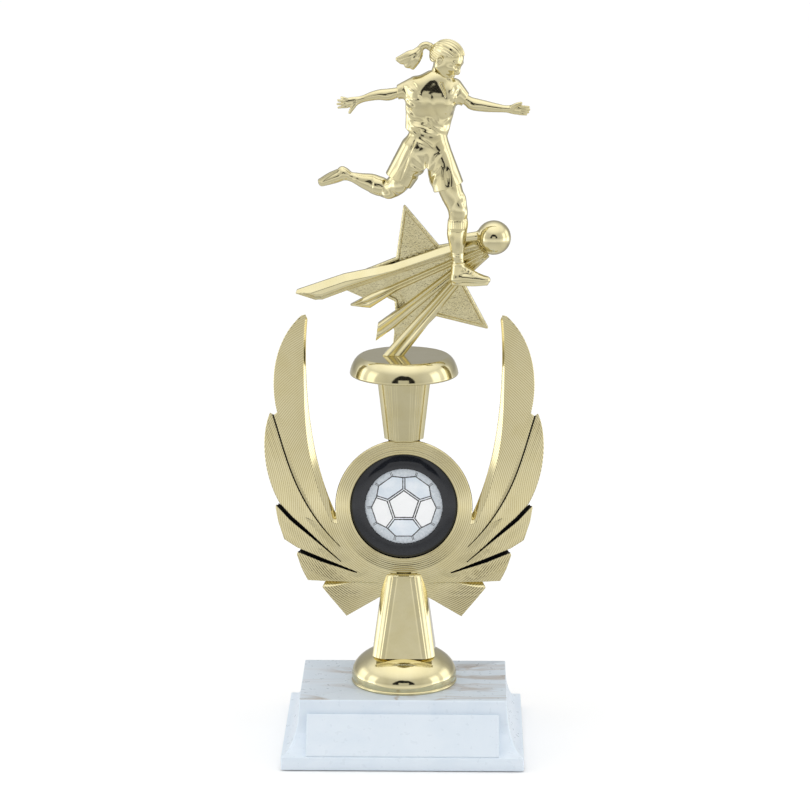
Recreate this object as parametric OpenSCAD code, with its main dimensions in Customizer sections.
// Football figure trophy: a marble-look base, a winged riser that holds a round insert,
// and a kicking figure over a star, all clamped on one threaded rod.
// Origin: centre of the underside. +Z up, the front faces -Y, +X to the right. Millimetres.

/* [Base] */
// Width of the plinth
plinth_w = 114.3; // [104:0.1:124]
// Depth of the plinth
plinth_d = 99.4; // [90:0.1:110]
// Height of the plinth's upright edge
plinth_h = 6.8; // [5:0.1:9]
// Width of the base's top face
top_w = 98.4; // [92:0.1:100]
// Depth of the base's top face
top_d = 63.6; // [58:0.1:70]
// Height of the base's top face above the table
base_h = 29.4; // [26:0.1:34]
// Wall of the moulded base shell
base_wall = 2.4; // [1.6:0.1:3]
// Half width of the raised front panel
panel_half_w = 45.5; // [30:0.5:48]

/* [Fixing rod] */
// Diameter of the threaded rod, a 1/4 inch size
rod_d = 6.35; // [6.35:0.05:6.35]
// Diameter of the clearance holes round the rod
rod_hole_d = 6.8; // [6.6:0.1:7.4]
// Across flats of the hex nuts
nut_af = 11.1; // [10:0.1:12]
// Height of the hex nuts
nut_h = 5.4; // [4:0.1:6]

/* [Riser] */
// Radius of the round foot
foot_r = 25.3; // [23:0.1:27]
// Height of the round foot
foot_h = 15.1; // [14:0.1:17]
// Height of the ring's centre above the table
ring_z = 117.7; // [116:0.1:120]
// Outer radius of the ring round the insert
ring_r = 32.6; // [31:0.1:34]
// Depth of the ring from front to back
ring_depth = 16; // [15:0.5:18]
// Radius of the insert, a 2 inch size
insert_r = 25.3; // [25.2:0.05:25.4]
// Radius of the silver ball picture in the insert
picture_r = 18.4; // [16:0.1:20]
// Front plane of the highest feather, in front of the parting plane
wing_front = 4.8; // [4:0.1:6]
// Thickness of the rear wing moulding
wing_back = 3; // [2:0.1:4]

/* [Figure] */
// Height of the round figure base's underside above the table
cap_z = 180; // [179:0.1:181]
// Greatest radius of the figure base
cap_r = 25.7; // [24:0.1:27]
// Radius of the figure base's flat top
cap_top_r = 20.9; // [19:0.1:22]
// Height of the figure base
cap_h = 9.5; // [9:0.1:9.5]
// Radius of the star, from its centre to its points
star_r = 38; // [36:0.1:38.5]
// Turn of the star about its centre, in degrees
star_turn = 34; // [33:0.5:35]
// Diameter of the ball
ball_d = 16.2; // [15:0.1:17]

/* [Hidden] */

gold = [0.86, 0.77, 0.45];
dark_gold = [0.80, 0.70, 0.40];
marble = [0.93, 0.95, 0.98];
steel = [0.62, 0.63, 0.65];

$fn = 96;
cut = 0.5;           // how far a cutting shape runs past the face that it cuts
gap = 0.15;          // clearance between neighbouring pieces
arc_steps = 14;      // straight steps in a drawn curve

// Base heights
pad_out = 0.6;       // how far the felt pads stand below the shell
shell_z = pad_out;
liner_h = 1.6;
cove_z = plinth_h;
deck_h = 3;          // thickness of the base's top deck
post_r = 9;          // radius of the post that the nut pulls on
nut_z = 9;
washer_h = 1.4;
lock_h = 1.2;
post_z = nut_z + nut_h + lock_h + washer_h;
weight_h = 12;
rod_top = cap_z + 7;

// Riser heights
foot_z = base_h;
pillar_z = foot_z + foot_h;
ring_front = ring_depth / 2;
pocket_depth = 3.4;
pocket_floor = ring_front - pocket_depth;
holder_h = 2.6;
pad_h = 0.7;
lower_top_z = ring_z - ring_r + 8;
upper_low_z = ring_z + ring_r - 6;

// Figure depths, as distances in front of the riser's parting plane
trail_front = 2.9;
trail_back = -2;
web_front = 1.2;
web_back = -1.4;
star_back = -5;
star_x = 10.2;
star_z = 224.9;
star_inner = 0.47;
ball_x = 41.9;
ball_z = 246.1;
ball_y = -1;

// Point at share t along a cubic curve with four control points
function curve_point(a, b, c, d, t) =
    a * pow(1 - t, 3) + 3 * b * t * pow(1 - t, 2) + 3 * c * t * t * (1 - t) + d * pow(t, 3);

// Points along a cubic curve, both ends included
function curve(a, b, c, d, steps = arc_steps) =
    [for (i = [0:steps]) curve_point(a, b, c, d, i / steps)];

// Points on a quarter ellipse of the base's cove, from its foot to its top edge
function cove(half_low, half_top, z_low, z_top) =
    [for (i = [0:arc_steps]) let (a = 90 * i / arc_steps)
        [half_top + (half_low - half_top) * (1 - sin(a)), z_top - (z_top - z_low) * cos(a)]];

function mirrored(points) = [for (i = [len(points) - 1:-1:0]) [-points[i][0], points[i][1]]];

// Turns a drawing in X and Z to stand upright, with its extrusion towards the front
module upright() {
    rotate([90, 0, 0]) children();
}

// Upright slab of a drawing, from one distance in front of the parting plane to another
module slab(back, front) {
    upright() translate([0, 0, back]) linear_extrude(front - back) children();
}

// Tube or disc on the rod's axis
module disc(r, z, h) {
    translate([0, 0, z]) cylinder(r = r, h = h);
}

module rod_hole(z, h) {
    disc(rod_hole_d / 2, z - cut, h + 2 * cut);
}

// Half outline of the base in one direction
module base_outline(half_low, half_top, z_low, z_cove, z_top) {
    side = concat([[half_low, z_low]], [[half_low, z_cove]],
        cove(half_low - 0.8, half_top, z_cove, z_top - 0.6), [[half_top, z_top]]);
    polygon(concat(side, mirrored(side)));
}

// Body with mitred corners: where the front outline and the side outline cross
module coved_block(inset, z_low, z_top) {
    half_w = plinth_w / 2 - inset;
    half_d = plinth_d / 2 - inset;
    intersection() {
        translate([0, half_d, 0]) upright() linear_extrude(2 * half_d)
            base_outline(half_w, top_w / 2 - inset, z_low, cove_z - inset, z_top);
        translate([-half_w, 0, 0]) rotate([90, 0, 90]) linear_extrude(2 * half_w)
            base_outline(half_d, top_d / 2 - inset, z_low, cove_z - inset, z_top);
    }
}

// Sloping flat panel that bridges the front cove
module front_panel() {
    top_y = top_d / 2 + 2.4;
    low_y = plinth_d / 2 - 0.6;
    translate([-panel_half_w, 0, 0]) rotate([90, 0, 90]) linear_extrude(2 * panel_half_w)
        polygon([[-top_y, base_h - 5.9], [-low_y, plinth_h + 0.4], [-low_y, plinth_h - 1],
            [-low_y + 4, plinth_h - 1], [-top_d / 2 + 1, base_h - 10], [-top_d / 2 + 1, base_h - 5.9]]);
}

module base_shell() color(marble) {
    difference() {
        union() {
            coved_block(0, shell_z, base_h);
            front_panel();
        }
        coved_block(base_wall, shell_z - cut, base_h - deck_h);
        rod_hole(base_h - deck_h, deck_h);
    }
    difference() {
        disc(post_r, post_z, base_h - deck_h - post_z + 0.2);
        rod_hole(post_z, base_h);
    }
}

// Cast slab that makes the base heavy, with a round opening for the nut
module base_weight() color([0.55, 0.55, 0.53]) {
    weight_w = top_w - 2 * base_wall - 4;
    weight_d = top_d - 2 * base_wall - 4;
    difference() {
        translate([-weight_w / 2, -weight_d / 2, shell_z + liner_h + gap])
            cube([weight_w, weight_d, weight_h]);
        disc(15.5, shell_z, weight_h + 4);
    }
}

module base_liner() color([0.16, 0.22, 0.18]) {
    liner_w = plinth_w - 2 * base_wall - 1;
    liner_d = plinth_d - 2 * base_wall - 1;
    difference() {
        translate([-liner_w / 2, -liner_d / 2, shell_z]) cube([liner_w, liner_d, liner_h]);
        disc(14, shell_z - cut, liner_h + 2 * cut);
        pad_places() translate([0, 0, shell_z - cut]) cylinder(r = 6.2, h = cut + 0.8);
    }
}

// The four corners where the pads sit
module pad_places() {
    for (side = [-1, 1], end = [-1, 1]) translate([side * 44, end * 37, 0]) children();
}

module felt_pads() color([0.10, 0.10, 0.11]) {
    pad_places() cylinder(r = 6, h = shell_z + 0.8);
}

module fender_washer() color(steel) {
    difference() {
        disc(12.5, nut_z + nut_h + lock_h, washer_h);
        rod_hole(nut_z + nut_h + lock_h, washer_h);
    }
}

module lock_washer() color(steel) {
    difference() {
        disc(5.6, nut_z + nut_h, lock_h);
        rod_hole(nut_z + nut_h, lock_h);
    }
}

// Hex nut round the rod, bored to a close fit
module hex_nut(z) {
    difference() {
        translate([0, 0, z]) cylinder(r = nut_af / 2 / cos(30), h = nut_h, $fn = 6);
        disc(rod_d / 2 + 0.03, z - cut, nut_h + 2 * cut);
    }
}

module bottom_nut() color(steel) hex_nut(nut_z);

module captive_nut() color(steel) hex_nut(cap_z + 0.4);

module check_rod() color(steel) {
    disc(rod_d / 2, nut_z - 4, rod_top - nut_z + 4);
}

// Domed foot with a thin lip
module riser_foot() color(gold) {
    bulge = curve([foot_r - 0.6, 1.2], [foot_r + 1.2, 6.5], [foot_r - 3, 11.5], [17, foot_h - 0.9]);
    inner = curve([foot_r - 2.8, -cut], [foot_r - 1.6, 6.5], [foot_r - 6, 10.5], [13, foot_h - 2.6]);
    difference() {
        translate([0, 0, foot_z]) rotate_extrude()
            polygon(concat([[0, 0], [foot_r, 0], [foot_r, 1.2]], bulge, [[15, foot_h], [0, foot_h]]));
        translate([0, 0, foot_z]) rotate_extrude()
            polygon(concat([[8, -cut]], inner, [[8, foot_h - 2.6]]));
        rod_hole(foot_z, foot_h);
    }
}

// Square with cut corners: w across the flats, face the width of each flat
module octagon(w, face) {
    a = w / 2;
    b = face / 2;
    polygon([[a, -b], [a, b], [b, a], [-b, a], [-a, b], [-a, -b], [-b, -a], [b, -a]]);
}

// Tapered pillar between two octagons
module taper(z_low, w_low, face_low, z_top, w_top, face_top) {
    thin = 0.02;
    hull() {
        translate([0, 0, z_low]) linear_extrude(thin) octagon(w_low, face_low);
        translate([0, 0, z_top - thin]) linear_extrude(thin) octagon(w_top, face_top);
    }
}

// Saddle cut that lets a pillar sit on the ring's rim
module ring_saddle() {
    translate([0, 40, ring_z]) upright() cylinder(r = ring_r + 0.1, h = 80, $fn = 160);
}

module lower_pillar() color(gold) {
    difference() {
        taper(pillar_z, 30, 19.6, lower_top_z, 17.2, 5.4);
        taper(pillar_z + 2, 26, 16, lower_top_z - 14, 14.8, 5);
        ring_saddle();
        rod_hole(pillar_z, 60);
    }
}

module upper_pillar() color(gold) {
    difference() {
        union() {
            taper(upper_low_z, 17.2, 6.2, cap_z - 1.4, 25, 10.8);
            taper(cap_z - 1.6, 26, 11.2, cap_z, 26, 11.2);
        }
        taper(upper_low_z + 12, 15.6, 5, cap_z - 3, 20.6, 8.6);
        ring_saddle();
        rod_hole(upper_low_z, 60);
    }
}

// Outlines of the right wing's feathers in X and Z, from the upswept one down to the lowest
wing_root = [[20, 96], [24, 118]];
inner_edge = curve([33, 116.3], [43.5, 138], [48.2, 178], [45, 207.4]);
outer_edge = curve([48.2, 209.4], [59.8, 199], [64.2, 181], [60, 162.7]);
lower_edge_1 = curve([61.8, 160.6], [54.6, 137], [51.5, 118.5], [30.3, 97.6]);
feather_1 = concat([[24, 112]], inner_edge, [[46.2, 209.8]], outer_edge, lower_edge_1, [[20, 104]]);
feather_2 = concat([[22, 110], [44, 128], [56, 160]],
    curve([63.4, 162.7], [67.2, 154], [68.2, 135], [59.3, 118.6]), [[53.6, 110.8], [44.9, 103.2], [30, 92]]);
feather_3 = [[22, 100], [48, 112], [60.8, 118.8], [61.3, 116.3], [59.9, 109.2], [57.1, 100.6],
    [50.3, 96.1], [39.1, 90.5], [20, 84.2]];
feather_4 = [[14, 92], [36, 96], [50.5, 95.6], [51.3, 93.1], [48.8, 86], [46, 80.4], [38.7, 80.1],
    [12, 79.6]];
feather_5 = [[12, 88], [24, 84], [38.2, 79.6], [39.2, 76.9], [27.5, 62.6], [12.1, 71.8], [10.2, 84]];
feathers = [feather_1, feather_2, feather_3, feather_4, feather_5];
feather_steps = [0, 0.7, 1.3, 1.9, 1.3];

module both_sides() {
    children();
    mirror([1, 0, 0]) children();
}

// Front moulding: the ring's dished cup with both wings
module front_wing_shell() color(gold) {
    dome = curve([26.6, ring_front], [29.6, ring_front], [ring_r, ring_front - 1], [ring_r, 3.4], 10);
    difference() {
        union() {
            translate([0, 0, ring_z]) upright() rotate_extrude()
                polygon(concat([[0, 0], [0, ring_front - 0.2], [25.8, ring_front - 0.2]], dome, [[ring_r, 0]]));
            both_sides() difference() {
                for (i = [0:len(feathers) - 1])
                    slab(0, wing_front - feather_steps[i]) polygon(feathers[i]);
                translate([0, cut, ring_z]) upright() cylinder(r = ring_r - 4, h = 20);
            }
        }
        translate([0, -pocket_floor, ring_z]) upright() cylinder(r = insert_r + gap, h = 10);
        translate([0, cut, ring_z]) upright() difference() {
            cylinder(r = ring_r - 3, h = pocket_floor - 0.8);
            translate([0, 0, -cut]) cylinder(r = 7, h = 10);
        }
        rod_hole(50, 120);
    }
}

// Rear moulding: a shallow closed cup with both wings, plain on its flat rear face
module back_wing_shell() color(dark_gold) {
    rim = curve([ring_r - 3, ring_front], [ring_r - 1, ring_front], [ring_r, ring_front - 1], [ring_r, 4], 8);
    difference() {
        union() {
            translate([0, 0, ring_z]) rotate([-90, 0, 0]) rotate_extrude()
                polygon(concat([[0, 0], [0, ring_front]], rim, [[ring_r, 0]]));
            both_sides() difference() {
                slab(-wing_back, 0) for (outline = feathers) polygon(outline);
                translate([0, 20, ring_z]) upright() cylinder(r = ring_r - 4, h = 40);
            }
        }
        translate([0, ring_front - 1.6, ring_z]) upright() difference() {
            cylinder(r = ring_r - 3, h = 20);
            translate([0, 0, -cut]) cylinder(r = 7, h = 30);
        }
        rod_hole(50, 120);
    }
}

// Disc of the insert, standing upright from one height above the pocket floor to another
module insert_slice(r, low, high) {
    translate([0, -pocket_floor - low, ring_z]) upright() cylinder(r = r, h = high - low);
}

module insert_pad() color([0.85, 0.85, 0.82]) insert_slice(22, 0, pad_h);

// Black ring with a sloping face that falls towards the picture
module insert_holder() color([0.08, 0.09, 0.11]) {
    translate([0, -pocket_floor - pad_h, ring_z]) upright() rotate_extrude()
        polygon([[0, 0], [insert_r, 0], [insert_r, holder_h - 0.3], [insert_r - 0.3, holder_h],
            [picture_r + 0.1, holder_h - 1], [picture_r + 0.1, 0.8], [0, 0.8]]);
}

module insert_disc() color([0.82, 0.86, 0.90]) {
    insert_slice(picture_r, pad_h + 0.85, pad_h + 1.35);
}

// Clear domed cover over the picture
module insert_lens() color([0.95, 0.97, 1, 0.25]) {
    dome = curve([0, 1], [8, 1], [14, 0.75], [picture_r, 0.25], 8);
    translate([0, -pocket_floor - pad_h - 1.4, ring_z]) upright() rotate_extrude()
        polygon(concat([[0, 0]], dome, [[picture_r, 0]]));
}

// Round figure base with a flat top, a sloping shoulder and a small lip underneath
module figure_base() color(gold) {
    shoulder = curve([cap_r, 1.7], [cap_r, 4.6], [cap_top_r + 2.4, cap_h - 0.6], [cap_top_r, cap_h], 10);
    difference() {
        translate([0, 0, cap_z]) rotate_extrude()
            polygon(concat([[0, 0.02], [cap_r - 2.6, 0.02], [cap_r - 0.6, 0.8]], shoulder, [[0, cap_h]]));
        translate([0, 0, cap_z]) rotate_extrude()
            polygon([[13.6, -cut], [cap_r - 3.6, -cut], [cap_r - 3, 3], [cap_top_r - 2, cap_h - 2], [9, cap_h - 2],
                [9, 5], [13.6, 2.2]]);
        translate([0, 0, cap_z - cut]) cylinder(r = (nut_af + 0.3) / 2 / cos(30), h = nut_h + 1 + cut, $fn = 6);
        disc(rod_hole_d / 2, cap_z, 7.6);
    }
}

// Corner of the star: even numbers are points, odd numbers are the notches between them
function star_corner(i, r) = let (size = i % 2 == 0 ? r : r * star_inner, a = star_turn + 36 * i)
    [star_x + size * cos(a), star_z + size * sin(a)];

module star_outline(r) {
    polygon([for (i = [0:9]) star_corner(i, r)]);
}

// Room for the ball's socket
module ball_space() {
    translate([ball_x, ball_y, ball_z]) sphere(r = ball_d / 2 + 0.1);
}

// Space taken by the figure base under the star and the rays
module above_cap() {
    intersection() {
        children();
        translate([-80, -40, cap_z + cap_h + 0.02]) cube([160, 80, 100]);
    }
}

module star_plate() color(dark_gold) {
    above_cap() difference() {
        slab(star_back, trail_back - 0.02) star_outline(star_r);
        slab(trail_back - 0.8, trail_back + cut) star_outline(star_r - 7);
        ball_space();
    }
}

// Outlines of the four rays, in X and Z, from the longest down to the one that stands on the base
ray_1 = [[-51.1, 219.3], [-50.4, 220.8], [-28.1, 228.5], [-5.4, 233.3], [15.7, 240.6], [32, 246], [36.4, 240.7],
    [22.5, 237.3], [-26.6, 220.8], [-38.2, 216.4], [-41.8, 216.2]];
ray_2 = [[-25.3, 213.9], [-16.6, 218.6], [22.5, 236], [37, 242], [36, 238], [21, 232], [-3, 220.8],
    [-15.9, 212.4]];
ray_3 = [[-13.4, 196.6], [-12.3, 205], [0.7, 214.6], [21.8, 230.8], [36, 239], [38, 236], [22.2, 226.3],
    [-4.8, 202.9]];
ray_4 = [[-8.8, 187], [-6.9, 193.3], [22.2, 226.5], [38, 240], [40, 237], [34.4, 231.8], [25.8, 223.2],
    [12.9, 206.6], [1.4, 191.4], [0.5, 187]];
rays = [ray_1, ray_2, ray_3, ray_4];

// Outlines of the thin webs between neighbouring rays
web_12 = [[-26, 222.5], [-17.5, 216.5], [28, 237], [27, 241]];
web_23 = [[-4, 222], [-0.1, 218.7], [0.5, 211.5], [29, 234], [27, 236.5]];
web_34 = [[-5.2, 204.5], [-5.5, 192.5], [-1, 192.8], [31, 231.5], [28, 232.5]];
webs = [web_12, web_23, web_34];

module comet_trail() color(gold) {
    above_cap() difference() {
        union() {
            for (outline = rays) slab(trail_back, trail_front) polygon(outline);
            for (outline = webs) slab(web_back, web_front) polygon(outline);
        }
        ball_space();
    }
}

module ball() color(gold) {
    translate([ball_x, ball_y, ball_z]) sphere(r = ball_d / 2, $fn = 64);
}

// Rounded limb through a list of [x, y, z, radius] stations
module limb(stations) {
    for (i = [0:len(stations) - 2]) hull() for (s = [stations[i], stations[i + 1]])
        translate([s[0], s[1], s[2]]) sphere(r = s[3], $fn = 16);
}

// Trunk made of flattened stations: [x, y, z, half width, half depth]
module trunk(stations) {
    for (i = [0:len(stations) - 2]) hull() for (s = [stations[i], stations[i + 1]])
        translate([s[0], s[1], s[2]]) scale([s[3], s[4], 3]) sphere(r = 1, $fn = 20);
}

// The player: stations follow the joints of the body
module athlete() color(gold) {
    difference() {
        union() {
            trunk([[12.5, -4, 316.5, 12.8, 5.6], [11.6, -4, 308, 11.2, 6.2], [10.6, -4.4, 299, 9.4, 5.8],
                [11, -4.8, 291, 10.4, 6.6], [11, -4.8, 284, 12.2, 6.8]]);
            // neck, head and ponytail
            limb([[15, -4, 319, 4], [16.5, -4.5, 324, 3.4], [18.6, -5, 328, 5.6], [19.4, -5, 332.6, 7]]);
            limb([[13.5, -4, 335, 2], [8.4, -4, 335.5, 2], [4.6, -4, 331, 3], [3, -4, 327, 2.4],
                [-2.8, -4, 329.2, 1]]);
            // left and right arms as seen from the front
            limb([[3, -4, 317, 4.6], [-4, -3.6, 314, 3.6], [-11, -3, 313.2, 2.7], [-20, -2.6, 311, 1.7],
                [-26, -2.6, 309.4, 2.1], [-31, -2.6, 307, 1]]);
            limb([[24.5, -4, 315.5, 4.6], [30, -4.2, 311.8, 3.4], [37, -4.6, 308.6, 2.5], [47.5, -5, 306.8, 1.6],
                [53, -5, 306.8, 2.1], [57.8, -5, 306, 1]]);
            // shorts and the leg that swings back
            limb([[6, -4.6, 287, 6.6], [-0.6, -4.2, 277.6, 6.4], [-2.6, -2.6, 270, 5.6], [-6, -0.4, 269, 4.6],
                [-15, 1, 271.6, 3.6], [-25, 1.6, 274.4, 2.2], [-28, 1.6, 275.6, 2.4], [-37, 1.6, 271.6, 2.2]]);
            // shorts and the standing leg
            limb([[15.4, -5.2, 286, 7], [20.2, -6, 276, 6.6], [22.4, -6.4, 266, 4.8], [24.6, -6.4, 257, 4.3],
                [25, -6.2, 248, 4], [26.6, -6.1, 236, 2.3], [26, -6.1, 229.6, 3.1], [36.6, -6.4, 227.2, 2.4]]);
        }
        translate([-60, -trail_front - 0.02, 200]) cube([120, 20, 52]);
        translate([0, -20, 200]) cube([60, 40, 24.4]);
    }
}

base_shell();
base_weight();
base_liner();
felt_pads();
fender_washer();
lock_washer();
bottom_nut();
check_rod();
riser_foot();
lower_pillar();
front_wing_shell();
back_wing_shell();
insert_pad();
insert_holder();
insert_disc();
insert_lens();
upper_pillar();
figure_base();
captive_nut();
star_plate();
comet_trail();
ball();
athlete();
